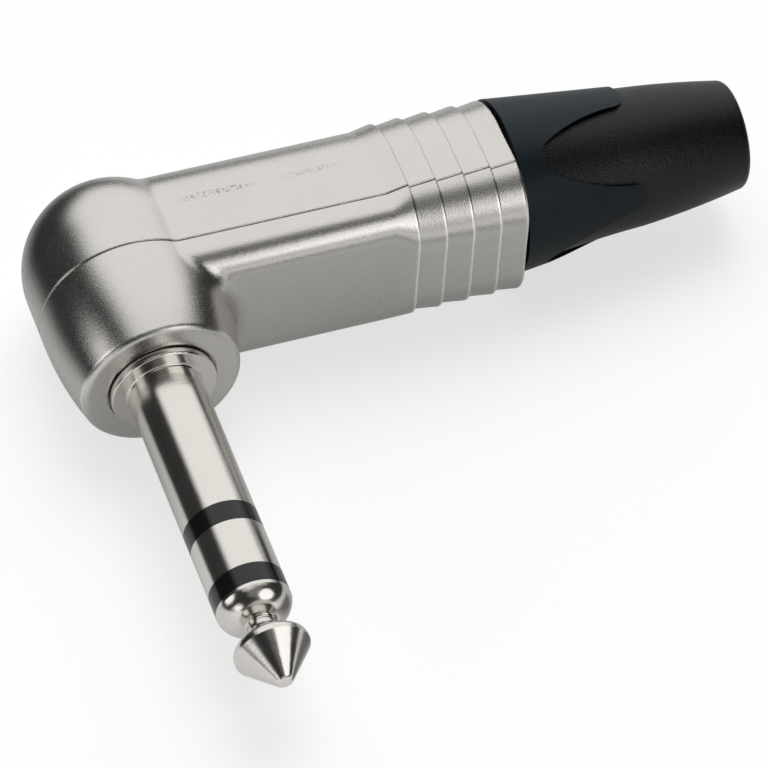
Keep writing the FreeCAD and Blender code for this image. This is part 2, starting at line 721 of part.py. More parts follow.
def make_shell_form():
    """Both halves of the die-cast shell in one, before they are parted at the seam."""
    body = add_body("shell_form")
    head = add_sketch(body, "head_profile", "XY_Plane")
    outline(head, [
        ("0", "0"),
        ("shoulder_radius", "0"),
        Bend("head_flank_radius", 1),
        ("head_radius", "flank_level"),
        ("head_radius", "dome_level"),
        Arc("0", "dome_level", 1),
        ("0", "dome_top"),
    ])
    turned(body, "head", head, "V_Axis")
    doc.recompute()
    head_alone = body.Shape
    barrel_outline = barrel_section(body, "barrel_outline", "0")
    barrel = raised(body, "barrel", barrel_outline, "first_ring_start")
    doc.recompute()
    dress(body, "Fillet", "neck", "neck_round",
          meeting_edges(body.Shape, head_alone, barrel.AddSubShape))
    crest = crest_section(body, "first_ring_crest", "first_ring_end")
    lofted(body, "first_ring", barrel_section(body, "first_ring_front", "first_ring_start"), crest)
    ring = lofted(body, "grip_ring",
                  trough_section(body, "grip_ring_front", "first_ring_end"),
                  crest_section(body, "grip_ring_crest", "second_ring_end"))
    pattern = body.newObject("PartDesign::LinearPattern", "grip_rings")
    pattern.Originals = [ring]
    pattern.Direction = (origin_feature(body, "X_Axis"), [""])
    pattern.Length = number("rings_span")
    pattern.setExpression("Length", formula("rings_span"))
    pattern.setExpression("Occurrences", formula("repeated_rings"))
    body.Tip = pattern
    doc.recompute()
    dress(body, "Fillet", "rim_rounding", "rim_round",
          crest_edges(body.Shape, crest.Shape, [number("rim")]))
    crests = [number("rim") - number("ring_pitch") * i for i in range(1, int(number("ring_count")))]
    dress(body, "Fillet", "crest_rounding", "crest_round",
          crest_edges(body.Shape, crest.Shape, crests))
    spigot = add_sketch(body, "spigot_profile", "XY_Plane")
    axis_line(spigot, "spigot_end", "barrel_axis")
    outline(spigot, [
        ("rings_start", "barrel_axis"),
        ("rings_start", "spigot_land_edge"),
        ("front_land_end", "spigot_land_edge"),
        ("front_land_end", "spigot_core_edge"),
        ("rear_land_start", "spigot_core_edge"),
        ("rear_land_start", "spigot_land_edge"),
        ("spigot_end", "spigot_land_edge"),
        ("spigot_end", "barrel_axis"),
    ])
    turned(body, "spigot", spigot, "Axis0")
    head_bore = add_sketch(body, "head_bore_profile", "XY_Plane")
    outline(head_bore, [
        ("0", "shoulder_wall"),
        ("head_bore_radius", "shoulder_wall"),
        ("head_bore_radius", "dome_level"),
        Arc("0", "dome_level", 1),
        ("0", "head_bore_top"),
    ])
    turned(body, "head_bore", head_bore, "V_Axis", cut=True)
    barrel_bore = add_sketch(body, "barrel_bore_profile", "XY_Plane")
    axis_line(barrel_bore, "spigot_end", "barrel_axis")
    outline(barrel_bore, [
        ("0", "barrel_axis"),
        ("0", "barrel_bore_edge"),
        ("barrel_bore_end", "barrel_bore_edge"),
        ("barrel_bore_end", "chuck_seat_edge"),
        ("bore_beyond", "chuck_seat_edge"),
        ("bore_beyond", "barrel_axis"),
    ])
    turned(body, "barrel_bore", barrel_bore, "Axis0", cut=True)
    finger_hole = add_sketch(body, "finger_hole_outline", "XZ_Plane")
    circle(finger_hole, "0", "0", "collar_seat_radius")
    raised(body, "finger_hole", finger_hole, "shoulder_wall", cut=True)
    keyway = add_sketch(body, "keyway_outline", "XY_Plane")
    rectangle(keyway, "barrel_bore_end", "keyway_end", "keyway_low", "keyway_high")
    raised(body, "keyways", keyway, "keyway_span", centred=True, cut=True)
    dress_rings(body, "Fillet", "shoulder_rounding", "shoulder_round", ALONG_FINGER,
                [("shoulder_radius", "0")])
    return body


def seam_edges(shape):
    """Names of the long edges round the outside of a half, where it meets the other."""
    found = []
    for i, edge in enumerate(shape.Edges, start=1):
        if edge.Degenerated or edge.BoundBox.XMax > number("rim") + edge.Tolerance:
            continue
        box = edge.BoundBox
        level = number("seam_level")
        if abs(box.YMin - level) > 1e-4 or abs(box.YMax - level) > 1e-4:
            continue
        middle = edge.valueAt((edge.FirstParameter + edge.LastParameter) / 2)
        from_axis = math.hypot(min(middle.x, 0), middle.z)
        if box.XLength > 1e-3 and from_axis > number("head_bore_radius") + 1e-3:
            found.append("Edge%d" % i)
    return found


def make_half(label, form, start):
    """One half of the shell: what the form has on its side of the seam."""
    block = doc.addObject("Part::Box", label + "_side")
    block.setExpression("Length", "places.block_length")
    block.setExpression("Width", "places.half_block")
    block.setExpression("Height", "places.half_block")
    block.setExpression("Placement.Base.x", "-places.half_block / 2")
    block.setExpression("Placement.Base.y", formula(start))
    block.setExpression("Placement.Base.z", "-places.half_block / 2")
    half = doc.addObject("Part::Common", label + "_raw")
    half.Base = form
    half.Tool = block
    doc.recompute()
    body = add_body(label)
    body.BaseFeature = half
    doc.recompute()
    dress(body, "Chamfer", label + "_seam_edge", "seam_chamfer", seam_edges(body.Shape))
    return body


def make_liner():
    """Insulating tube that keeps the solder tails off the barrel."""
    body = add_body("insulating_liner")
    section = add_sketch(body, "liner_section", "YZ_Plane", "liner_start")
    circle(section, "barrel_axis", "0", "liner_radius")
    circle(section, "barrel_axis", "0", "liner_bore")
    raised(body, "liner_tube", section, "liner_length")
    return body


def make_chuck():
    """Slotted chuck that the boot squeezes on the cable, keyed so that it can't turn."""
    body = turned_body("strain_relief_chuck", "XY_Plane", "H_Axis", [
        ("chuck_front", "0"),
        ("chuck_front", "chuck_radius"),
        ("chuck_cone_start", "chuck_radius"),
        ("chuck_back", "chuck_end_radius"),
        ("chuck_back", "0"),
    ])
    key = add_sketch(body, "chuck_key_outline", "XY_Plane")
    rectangle(key, "chuck_front", "key_back", "-key_half", "key_half")
    raised(body, "chuck_keys", key, "key_span", centred=True)
    bore = add_sketch(body, "chuck_bore_outline", "YZ_Plane")
    circle(bore, "0", "0", "chuck_bore_radius")
    raised(body, "chuck_bore", bore, "chuck_beyond", reverse=True, cut=True)
    tooth = add_sketch(body, "chuck_tooth_profile", "XY_Plane")
    outline(tooth, [
        ("chuck_tooth_front", "chuck_tooth_root"),
        ("chuck_tooth_back", "chuck_tooth_crest"),
        ("chuck_tooth_back", "chuck_tooth_root"),
    ])
    ridge = turned(body, "chuck_tooth", tooth, "H_Axis")
    teeth = body.newObject("PartDesign::LinearPattern", "chuck_teeth")
    teeth.Originals = [ridge]
    teeth.Direction = (origin_feature(body, "X_Axis"), [""])
    teeth.Reversed = True
    teeth.Length = number("chuck_tooth_span")
    teeth.setExpression("Length", formula("chuck_tooth_span"))
    teeth.setExpression("Occurrences", formula("chuck_tooth_count"))
    body.Tip = teeth
    slot = add_sketch(body, "chuck_slot_outline", "XY_Plane")
    rectangle(slot, "chuck_slot_start", "chuck_beyond", "-chuck_slot_half", "chuck_slot_half")
    cut = raised(body, "chuck_slot", slot, "half_block", centred=True, cut=True)
    slots = body.newObject("PartDesign::PolarPattern", "chuck_slots")
    slots.Originals = [cut]
    slots.Axis = (origin_feature(body, "X_Axis"), [""])
    slots.Angle = number("chuck_slot_sweep")
    slots.setExpression("Angle", formula("chuck_slot_sweep") + " * 1 deg")
    slots.setExpression("Occurrences", formula("chuck_slot_count"))
    body.Tip = slots
    return body


def make_boot_collar():
    """Hard threaded collar of the boot, scalloped into fingers that reach over the gland."""
    body = turned_body("boot_collar", "XY_Plane", "H_Axis", [
        ("boot_front", "layer_front_radius"),
        ("boot_front", "boot_front_radius"),
        ("finger_end", "finger_end_radius"),
        ("finger_end", "layer_end_radius"),
    ])
    scallop = add_sketch(body, "scallop_outline", "XY_Plane")
    outline(scallop, [
        ("scallop_flank_start", "-scallop_flank_root"),
        Arc("scallop_nose_centre", "0", -1),
        ("scallop_flank_start", "scallop_flank_root"),
        Bend("scallop_flank_radius", -1),
        ("scallop_flank_end", "scallop_flank_half"),
        Bend("finger_tip_radius", 1),
        ("finger_end", "scallop_half"),
        ("scallop_beyond", "scallop_half"),
        ("scallop_beyond", "-scallop_half"),
        ("finger_end", "-scallop_half"),
        Bend("finger_tip_radius", 1),
        ("scallop_flank_end", "-scallop_flank_half"),
        Bend("scallop_flank_radius", -1),
    ])
    cut = raised(body, "scallop", scallop, "half_block", reverse=True, cut=True)
    scallops = body.newObject("PartDesign::PolarPattern", "scallops")
    scallops.Originals = [cut]
    scallops.Axis = (origin_feature(body, "X_Axis"), [""])
    scallops.Angle = number("scallop_sweep")
    scallops.setExpression("Angle", formula("scallop_sweep") + " * 1 deg")
    scallops.setExpression("Occurrences", formula("scallop_count"))
    body.Tip = scallops
    core = add_sketch(body, "collar_core_profile", "XY_Plane")
    outline(core, [
        ("boot_front", "boot_thread_radius"),
        ("boot_front", "core_front_radius"),
        ("collar_core_end", "core_end_radius"),
        ("collar_core_end", "seat_end_radius"),
        ("boot_thread_end", "seat_front_radius"),
        ("boot_thread_end", "boot_thread_radius"),
    ])
    turned(body, "collar_core", core, "H_Axis")
    return body


def make_gland_form():
    """The gland before the collar's shape is taken out of it."""
    body = turned_body("gland_form", "XY_Plane", "H_Axis", [
        ("gland_front", "gland_root_radius"),
        ("gland_front", "gland_front_radius"),
        Bend("gland_sweep_radius", 1),
        ("gland_waist", "gland_waist_radius"),
        Bend("gland_sweep_radius", -1),
        ("gland_end", "gland_end_radius"),
        ("gland_end", "gland_bore_radius"),
        ("collar_core_end", "gland_bore_radius"),
        ("collar_core_end", "gland_root_radius"),
    ])
    dress_rings(body, "Fillet", "gland_end_rounding", "gland_end_round", ALONG_BARREL,
                [("gland_end_radius", "gland_end")])
    dress_rings(body, "Chamfer", "gland_mouth_edge", "gland_mouth", ALONG_BARREL,
                [("gland_bore_radius", "gland_end")])
    return body


def make_gland(gland_form, collar):
    """Soft gland moulded round the collar's fingers, with the cable's way out."""
    gland = doc.addObject("Part::Cut", "boot_gland")
    gland.Label = "boot_gland"
    gland.Base = gland_form
    gland.Tool = collar
    return gland


def lift_to_barrel(piece, turn="0"):
    """Stand a piece made about X on the barrel's own axis, turned about it."""
    piece.Placement = Placement(Vector(0, number("barrel_axis"), 0),
                                Rotation(Vector(1, 0, 0), number(turn)))
    piece.setExpression("Placement.Base.y", formula("barrel_axis"))
    if turn != "0":
        piece.setExpression("Placement.Rotation.Angle", formula(turn) + " * 1 deg")


form = make_shell_form()
collar = make_boot_collar()
lift_to_barrel(collar, "finger_turn")
gland_form = make_gland_form()
lift_to_barrel(gland_form)
gland = make_gland(gland_form, collar)
chuck = make_chuck()
lift_to_barrel(chuck)
doc.recompute()

pieces = [
    make_half("shell_base", form, "base_block_start"),
    make_half("shell_cover", form, "cover_block_start"),
    make_sleeve(),
    make_sleeve_insulator(),
    make_ring_contact(),
    make_tip_insulator(),
    make_tip_contact(),
    make_lug("sleeve_lug", "sleeve_tube_radius", "sleeve_flange_top", "sleeve_lug_top",
             ("side_tail_level", "side_tail_top"),
             ("lug_riser_reach", "lug_riser_back"), "-lug_spread"),
    make_ring_washer(),
    make_lug("ring_lug", "ring_tube_radius", "ring_washer_top", "ring_lug_top",
             ("side_tail_level", "side_tail_top"),
             ("lug_riser_reach", "lug_riser_back"), "lug_spread"),
    make_tip_washer(),
    make_lug("tip_lug", "rod_radius", "tip_washer_top", "tip_lug_top",
             ("tip_tail_level", "tip_tail_top"),
             ("tip_lug_riser_reach", "tip_lug_riser_back"), "0"),
    make_liner(),
    chuck,
    collar,
    gland,
]
doc.recompute()

for thing in doc.Objects:
    broken = [state for state in thing.State if state in ("Invalid", "Error")]
    if broken:
        raise RuntimeError("%s is %s" % (thing.Name, broken[0]))

os.makedirs("parts", exist_ok=True)
for piece in pieces:
    shape = piece.Shape
    if shape.isNull() or not shape.isValid():
        raise RuntimeError("%s has no valid shape" % piece.Label)
    shape.exportStep("parts/%s.step" % piece.Label)
    print("%-22s solids %d volume %.1f" % (piece.Label, len(shape.Solids), shape.Volume))
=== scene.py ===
"""Dresses the right-angle stereo jack plug: its finishes, the screw thread and the studio.

Everything is in metres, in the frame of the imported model. The origin is where the
finger's axis meets the shoulder, the finger points along -Y and the barrel along +X.
"""
import math

import bpy
from bpy.props import FloatProperty, FloatVectorProperty, IntProperty, PointerProperty
from mathutils import Matrix, Vector


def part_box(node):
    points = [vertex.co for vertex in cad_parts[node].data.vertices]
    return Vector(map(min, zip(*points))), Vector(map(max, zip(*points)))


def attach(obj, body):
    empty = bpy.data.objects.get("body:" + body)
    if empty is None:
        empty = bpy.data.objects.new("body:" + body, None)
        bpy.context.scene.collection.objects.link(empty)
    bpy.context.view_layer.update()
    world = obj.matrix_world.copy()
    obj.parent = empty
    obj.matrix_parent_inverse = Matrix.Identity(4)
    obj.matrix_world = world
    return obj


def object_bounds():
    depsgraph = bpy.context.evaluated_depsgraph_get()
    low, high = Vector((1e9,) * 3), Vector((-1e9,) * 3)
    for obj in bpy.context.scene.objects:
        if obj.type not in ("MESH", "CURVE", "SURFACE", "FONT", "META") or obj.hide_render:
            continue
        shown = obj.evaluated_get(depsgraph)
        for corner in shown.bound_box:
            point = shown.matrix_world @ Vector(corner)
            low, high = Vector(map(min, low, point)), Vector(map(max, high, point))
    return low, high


bl_info = {
    "name": "Jack plug dresser",
    "version": (1, 0, 0),
    "blender": (4, 5, 0),
    "location": "3D View > Sidebar > Jack plug",
    "description": "Finishes, screw thread and studio for a right-angle jack plug",
    "category": "Object",
}

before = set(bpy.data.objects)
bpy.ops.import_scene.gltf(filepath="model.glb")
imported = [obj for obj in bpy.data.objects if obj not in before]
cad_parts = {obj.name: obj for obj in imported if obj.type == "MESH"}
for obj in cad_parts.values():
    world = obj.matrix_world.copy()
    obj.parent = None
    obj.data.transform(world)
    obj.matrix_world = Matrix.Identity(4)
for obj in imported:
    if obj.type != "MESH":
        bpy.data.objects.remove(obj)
cad_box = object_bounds()

BOOT_LOW, BOOT_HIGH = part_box("boot_collar")
BARREL_AXIS = (BOOT_LOW.y + BOOT_HIGH.y) / 2

# Places that the shell's finish follows. Places along the barrel count from the finger's
# axis, levels and depths from the shoulder.

FLECKS_LEVEL = 0.01315
FLECKS_HALF_HEIGHT = 0.00028
NEAR_FLECKS_PLACE = 0.0088
NEAR_FLECKS_HALF_LENGTH = 0.0026
FAR_FLECKS_PLACE = 0.0170
FAR_FLECKS_HALF_LENGTH = 0.0024
SEAM_CLOSED_PLACE = -0.0046
SEAM_OPEN_PLACE = -0.0036
FLAT_FACE_EDGE_LEVELS = (0.0058, 0.0072)
# Where the painted highlight on the shoulder's rim lies.
BRIGHT_RIM_RADII = (0.0067, 0.0069)
BRIGHT_RIM_DEPTHS = (0.0003, 0.0006)
SOFT_RIM_RADII = (0.0058, 0.0064)
SOFT_RIM_DEPTHS = (0.0014, 0.0024)

# Plain numbers of its patterns. A crest's are shares of the rings' pitch, and the ledge's is
# in half widths of the seam.

COARSE_SPECK_SCALE = 0.37
COARSE_SPECK_WEIGHT = 0.2
FLECK_LIMITS = (0.47, 0.62)
FAR_FLECKS_STRENGTH = 0.45
SEAM_PATCH_SCALE = 900.0
SEAM_PATCH_LIMITS = (0.3, 0.55)
SEAM_FAINTEST = 0.3
LEDGE_HALF_WIDTH = 1.4
CREST_TO_MIDDLE = 0.55
CREST_HALF_WIDTH = 0.058
FIRST_CREST_SHARES = (0.4, 0.6)


# Sizes and colours that a user would change

class ShellFinish(bpy.types.PropertyGroup):
    color: FloatVectorProperty(
        name="Colour", description="Reflected colour of the satin nickel",
        subtype="COLOR", size=3, min=0, max=1, default=(0.66, 0.64, 0.61))
    roughness: FloatProperty(
        name="Roughness", description="Roughness of the satin nickel",
        subtype="FACTOR", min=0, max=1, default=0.235)
    grain_size: FloatProperty(
        name="Grain size", description="Width of one speck of the cast grain",
        subtype="DISTANCE", unit="LENGTH", min=0.00002, default=0.00008)
    grain_depth: FloatProperty(
        name="Grain depth", description="Height of the cast grain",
        subtype="DISTANCE", unit="LENGTH", min=0, default=0.000012)
    edge_round: FloatProperty(
        name="Edge round", description="Radius by which sharp edges are softened",
        subtype="DISTANCE", unit="LENGTH", min=0, default=0.00026)
    rim_round: FloatProperty(
        name="Rim round", description="Radius by which the shoulder's rim is softened",
        subtype="DISTANCE", unit="LENGTH", min=0, default=0.00045)
    seam_level: FloatProperty(
        name="Seam level", description="Place along the finger's axis where the halves meet",
        subtype="DISTANCE", unit="LENGTH", default=0.00892)
    seam_width: FloatProperty(
        name="Seam width", description="Half width of the dark line along the seam",
        subtype="DISTANCE", unit="LENGTH", min=0, default=0.000055)
    seam_ledge: FloatProperty(
        name="Seam ledge", description="Height by which the cover stands proud at the seam",
        subtype="DISTANCE", unit="LENGTH", min=0, default=0.00005)
    crest_start: FloatProperty(
        name="Crest start", description="Place along the barrel of the first grip ring's foot",
        subtype="DISTANCE", unit="LENGTH", default=0.0217)
    crest_pitch: FloatProperty(
        name="Crest pitch", description="Distance from one grip ring to the next",
        subtype="DISTANCE", unit="LENGTH", min=0.0001, default=0.0024)


class ContactFinish(bpy.types.PropertyGroup):
    color: FloatVectorProperty(
        name="Colour", description="Reflected colour of the bright nickel",
        subtype="COLOR", size=3, min=0, max=1, default=(0.74, 0.715, 0.675))
    roughness: FloatProperty(
        name="Roughness", description="Roughness of the bright nickel",
        subtype="FACTOR", min=0, max=1, default=0.17)
    band_color: FloatVectorProperty(
        name="Band colour", description="Colour of the insulating bands",
        subtype="COLOR", size=3, min=0, max=1, default=(0.008, 0.008, 0.009))


class BootFinish(bpy.types.PropertyGroup):
    collar_color: FloatVectorProperty(
        name="Collar colour", description="Colour of the hard collar",
        subtype="COLOR", size=3, min=0, max=1, default=(0.0050, 0.0125, 0.0180))
    gland_color: FloatVectorProperty(
        name="Gland colour", description="Colour of the soft gland",
        subtype="COLOR", size=3, min=0, max=1, default=(0.0022, 0.0022, 0.0027))
    pebble_size: FloatProperty(
        name="Pebble size", description="Width of one pebble of the gland's grain",
        subtype="DISTANCE", unit="LENGTH", min=0.00002, default=0.00014)
    pebble_depth: FloatProperty(
        name="Pebble depth", description="Height of the gland's grain",
        subtype="DISTANCE", unit="LENGTH", min=0, default=0.00005)


class ThreadSizes(bpy.types.PropertyGroup):
    pitch: FloatProperty(
        name="Pitch", description="Distance from one thread to the next",
        subtype="DISTANCE", unit="LENGTH", min=0.0002, default=0.001)
    core_radius: FloatProperty(
        name="Core radius", description="Radius of the spigot between its two lands",
        subtype="DISTANCE", unit="LENGTH", min=0.001, default=0.00495)
    crest_radius: FloatProperty(
        name="Crest radius", description="Radius of the thread's crest",
        subtype="DISTANCE", unit="LENGTH", min=0.001, default=0.00526)
    start: FloatProperty(
        name="Start", description="Place along the barrel where the thread starts",
        subtype="DISTANCE", unit="LENGTH", default=0.0346)
    turns: FloatProperty(
        name="Turns", description="Number of turns of the thread", min=1, default=4.6)
    steps: IntProperty(
        name="Steps", description="Faces round one turn", min=12, default=64)


class StudioLook(bpy.types.PropertyGroup):
    azimuth: FloatProperty(
        name="Azimuth", description="Turn of the camera about the upright, in degrees",
        default=-22.330)
    elevation: FloatProperty(
        name="Elevation", description="Height of the camera above the horizon, in degrees",
        default=50.010)
    roll: FloatProperty(
        name="Roll", description="Turn of the camera about its own axis, in degrees",
        default=4.340)
    distance: FloatProperty(
        name="Distance", description="Distance from the camera to what it aims at",
        subtype="DISTANCE", unit="LENGTH", default=0.4999)
    aim: FloatVectorProperty(
        name="Aim", description="Point in the middle of the picture",
        subtype="TRANSLATION", unit="LENGTH", size=3,
        default=(0.0171637, -0.0058931, 0.0008975))
    lens: FloatProperty(
        name="Lens", description="Focal length in millimetres", default=286.01)
    back_light: FloatProperty(
        name="Back light", description="Brightness of the soft lights overhead and behind",
        min=0, default=1.02)
    left_light: FloatProperty(
        name="Left light", description="Brightness of the two small soft lights at the left",
        min=0, default=1.25)
    front_light: FloatProperty(
        name="Front light", description="Brightness of the small softbox near the plug's front",
        min=0, default=1.3)
    wall_light: FloatProperty(
        name="Wall light", description="Brightness of the pale wall and the soft light in front",
        min=0, default=0.55)
    room_light: FloatProperty(
        name="Room light", description="Brightness of the room outside the soft lights",
        min=0, default=0.03)
    floor_color: FloatVectorProperty(
        name="Floor colour", description="Colour of the studio floor",
        subtype="COLOR", size=3, min=0, max=1, default=(0.40, 0.40, 0.40))
    backdrop: FloatProperty(
        name="Backdrop", description="Paleness that the floor shows to the camera and to glass",
        min=0, max=1, default=0.685)
    mirrored: FloatProperty(
        name="Mirrored paleness", description="Paleness that the floor shows to metal",
        min=0, max=1, default=0.24)


# Small steps that shader trees are built from

def feed(tree, port, value):
    """Link a port to a socket, or write a number or a colour into it."""
    if isinstance(value, bpy.types.NodeSocket):
        tree.links.new(value, port)
    else:
        port.default_value = value


def math_node(tree, operation, *operands):
    """A Math node; each operand is a number or a socket."""
    node = tree.nodes.new("ShaderNodeMath")
    node.operation = operation
    for port, value in zip(node.inputs, operands):
        feed(tree, port, value)
    return node.outputs[0]


def remap(tree, value, low, high, to_low=0.0, to_high=1.0):
    """A value carried smoothly from one range to another, and clamped."""
    node = tree.nodes.new("ShaderNodeMapRange")
    node.interpolation_type = "SMOOTHSTEP"
    for name, number in (("Value", value), ("From Min", low), ("From Max", high),
                         ("To Min", to_low), ("To Max", to_high)):
        feed(tree, node.inputs[name], number)
    return node.outputs["Result"]


def noise(tree, vector, scale, detail, roughness):
    """The grey output of a noise texture; scale is a number or a socket."""
    node = tree.nodes.new("ShaderNodeTexNoise")
    for name, value in (("Vector", vector), ("Scale", scale),
                        ("Detail", detail), ("Roughness", roughness)):
        feed(tree, node.inputs[name], value)
    return node.outputs["Fac"]


def split(tree, vector):
    """The three parts of a vector."""
    node = tree.nodes.new("ShaderNodeSeparateXYZ")
    tree.links.new(vector, node.inputs["Vector"])
    return node.outputs


def reverse(tree, mask):
    """One where a mask is nought, and nought where it is one."""
    return math_node(tree, "SUBTRACT", 1.0, mask)


def band_mask(tree, value, centre, half_width, soft):
    """One where a value lies within a half width of a centre, with soft edges."""
    away = math_node(tree, "ABSOLUTE", math_node(tree, "SUBTRACT", value, centre))
    outer = math_node(tree, "MULTIPLY", half_width, 1.0 + soft)
    inner = math_node(tree, "MULTIPLY", half_width, 1.0 - soft)
    return reverse(tree, remap(tree, away, inner, outer))


def rim_mask(tree, place, radii, depths):
    """One at the shoulder's rim, with an edge between two radii and one between two depths."""
    across = math_node(tree, "MULTIPLY", place["X"], place["X"])
    squared = math_node(tree, "MULTIPLY_ADD", place["Z"], place["Z"], across)
    outside = remap(tree, squared, radii[0] ** 2, radii[1] ** 2)
    inward = remap(tree, place["Y"], depths[0], depths[1])
    return math_node(tree, "MULTIPLY", outside, reverse(tree, inward))


# Shader groups

def add_group(name, inputs, outputs):
    """An empty shader group with named sockets, and its input and output nodes."""
    group = bpy.data.node_groups.new(name, "ShaderNodeTree")
    for socket_name, kind, value in inputs:
        socket = group.interface.new_socket(socket_name, in_out="INPUT", socket_type=kind)
        if value is not None:
            socket.default_value = value
    for socket_name, kind in outputs:
        group.interface.new_socket(socket_name, in_out="OUTPUT", socket_type=kind)
    return group, group.nodes.new("NodeGroupInput"), group.nodes.new("NodeGroupOutput")


def fine_grain_group():
    """Specks of a cast or blasted surface, two sizes laid over each other."""
    group, start, end = add_group(
        "fine_grain",
        [("Vector", "NodeSocketVector", None), ("Speck Size", "NodeSocketFloat", 0.0002)],
        [("Height", "NodeSocketFloat")])
    scale = math_node(group, "DIVIDE", 1.0, start.outputs["Speck Size"])
    coarse_scale = math_node(group, "MULTIPLY", scale, COARSE_SPECK_SCALE)
    small = noise(group, start.outputs["Vector"], scale, detail=1.0, roughness=0.5)
    coarse = noise(group, start.outputs["Vector"], coarse_scale, detail=1.0, roughness=0.5)
    total = math_node(group, "MULTIPLY_ADD", coarse, COARSE_SPECK_WEIGHT, small)
    group.links.new(total, end.inputs["Height"])


def finish_drift_group():
    """A colour and a roughness that drift slowly over the surface."""
    group, start, end = add_group(
        "finish_drift",
        [("Vector", "NodeSocketVector", None),
         ("Color", "NodeSocketColor", (0.5, 0.5, 0.5, 1.0)),
         ("Roughness", "NodeSocketFloat", 0.5),
         ("Tone Drift", "NodeSocketFloat", 0.05),
         ("Roughness Drift", "NodeSocketFloat", 0.05),
         ("Patch Size", "NodeSocketFloat", 0.004)],
        [("Color", "NodeSocketColor"), ("Roughness", "NodeSocketFloat")])
    scale = math_node(group, "DIVIDE", 1.0, start.outputs["Patch Size"])
    patch = noise(group, start.outputs["Vector"], scale, detail=4.0, roughness=0.55)
    centred = math_node(group, "SUBTRACT", patch, 0.5)
    tone = math_node(group, "MULTIPLY", centred, start.outputs["Tone Drift"])
    gain = math_node(group, "MULTIPLY_ADD", tone, 2.0, 1.0)
    scaled = group.nodes.new("ShaderNodeVectorMath")
    scaled.operation = "SCALE"
    group.links.new(start.outputs["Color"], scaled.inputs["Vector"])
    group.links.new(gain, scaled.inputs["Scale"])
    group.links.new(scaled.outputs["Vector"], end.inputs["Color"])
    rough = math_node(group, "MULTIPLY_ADD", centred, start.outputs["Roughness Drift"],
                      start.outputs["Roughness"])
    group.links.new(rough, end.inputs["Roughness"])


def rub_marks_group():
    """A mask of dark flecks, in two faint strips along the barrel's sides."""
    group, start, end = add_group(
        "rub_marks",
        [("Vector", "NodeSocketVector", None),
         ("Mark Size", "NodeSocketFloat", 0.0003)],
        [("Mask", "NodeSocketFloat")])
    place = split(group, start.outputs["Vector"])
    scale = math_node(group, "DIVIDE", 1.0, start.outputs["Mark Size"])
    patches = noise(group, start.outputs["Vector"], scale, detail=2.0, roughness=0.6)
    flecks = remap(group, patches, *FLECK_LIMITS)
    near = band_mask(group, place["X"], NEAR_FLECKS_PLACE, NEAR_FLECKS_HALF_LENGTH, soft=0.5)
    far = band_mask(group, place["X"], FAR_FLECKS_PLACE, FAR_FLECKS_HALF_LENGTH, soft=0.6)
    fainter = math_node(group, "MULTIPLY", far, FAR_FLECKS_STRENGTH)
    strips = math_node(group, "ADD", near, fainter)
    level = band_mask(group, place["Y"], FLECKS_LEVEL, FLECKS_HALF_HEIGHT, soft=0.4)
    strip_mask = math_node(group, "MULTIPLY", strips, level)
    group.links.new(math_node(group, "MULTIPLY", strip_mask, flecks), end.inputs["Mask"])


def seam_line_group():
    """A mask of a thin uneven dark line where two cast halves meet, partly painted shade in the
    crevice and partly dirt in it, and the height of its ledge.

    The line closes at the far end of the head, where only the ledge is left.
    """
    group, start, end = add_group(
        "seam_line",
        [("Vector", "NodeSocketVector", None),
         ("Level", "NodeSocketFloat", 0.0),
         ("Width", "NodeSocketFloat", 0.0001)],
        [("Mask", "NodeSocketFloat"), ("Ledge", "NodeSocketFloat")])
    place = split(group, start.outputs["Vector"])
    level, width = start.outputs["Level"], start.outputs["Width"]
    line = band_mask(group, place["Y"], level, width, soft=0.4)
    patches = noise(group, start.outputs["Vector"], SEAM_PATCH_SCALE, detail=3.0, roughness=0.6)
    uneven = remap(group, patches, *SEAM_PATCH_LIMITS, SEAM_FAINTEST, 1.0)
    ajar = remap(group, place["X"], SEAM_CLOSED_PLACE, SEAM_OPEN_PLACE)
    gap = math_node(group, "MULTIPLY", uneven, ajar)
    group.links.new(math_node(group, "MULTIPLY", line, gap), end.inputs["Mask"])
    away = math_node(group, "SUBTRACT", place["Y"], level)
    share = math_node(group, "DIVIDE", away, width)
    ledge = remap(group, share, -LEDGE_HALF_WIDTH, LEDGE_HALF_WIDTH)
    group.links.new(ledge, end.inputs["Ledge"])


def painted_edge_highlights_group():
    """A mask of painted highlights on edges: the rings' crests on the flat face, the rim."""
    group, start, end = add_group(
        "painted_edge_highlights",
        [("Vector", "NodeSocketVector", None),
         ("Start", "NodeSocketFloat", 0.0),
         ("Pitch", "NodeSocketFloat", 0.002)],
        [("Mask", "NodeSocketFloat")])
    place = split(group, start.outputs["Vector"])
    past_start = math_node(group, "SUBTRACT", place["X"], start.outputs["Start"])
    along = math_node(group, "DIVIDE", past_start, start.outputs["Pitch"])
    phase = math_node(group, "FRACT", math_node(group, "ADD", along, CREST_TO_MIDDLE))
    line = band_mask(group, phase, centre=0.5, half_width=CREST_HALF_WIDTH, soft=0.5)
    on_rings = remap(group, along, *FIRST_CREST_SHARES)
    on_face = reverse(group, remap(group, place["Y"], *FLAT_FACE_EDGE_LEVELS))
    lines = math_node(group, "MULTIPLY", line, on_rings)
    crests = math_node(group, "MULTIPLY", lines, on_face)
    rim = rim_mask(group, place, BRIGHT_RIM_RADII, BRIGHT_RIM_DEPTHS)
    group.links.new(math_node(group, "MAXIMUM", crests, rim), end.inputs["Mask"])


# Materials

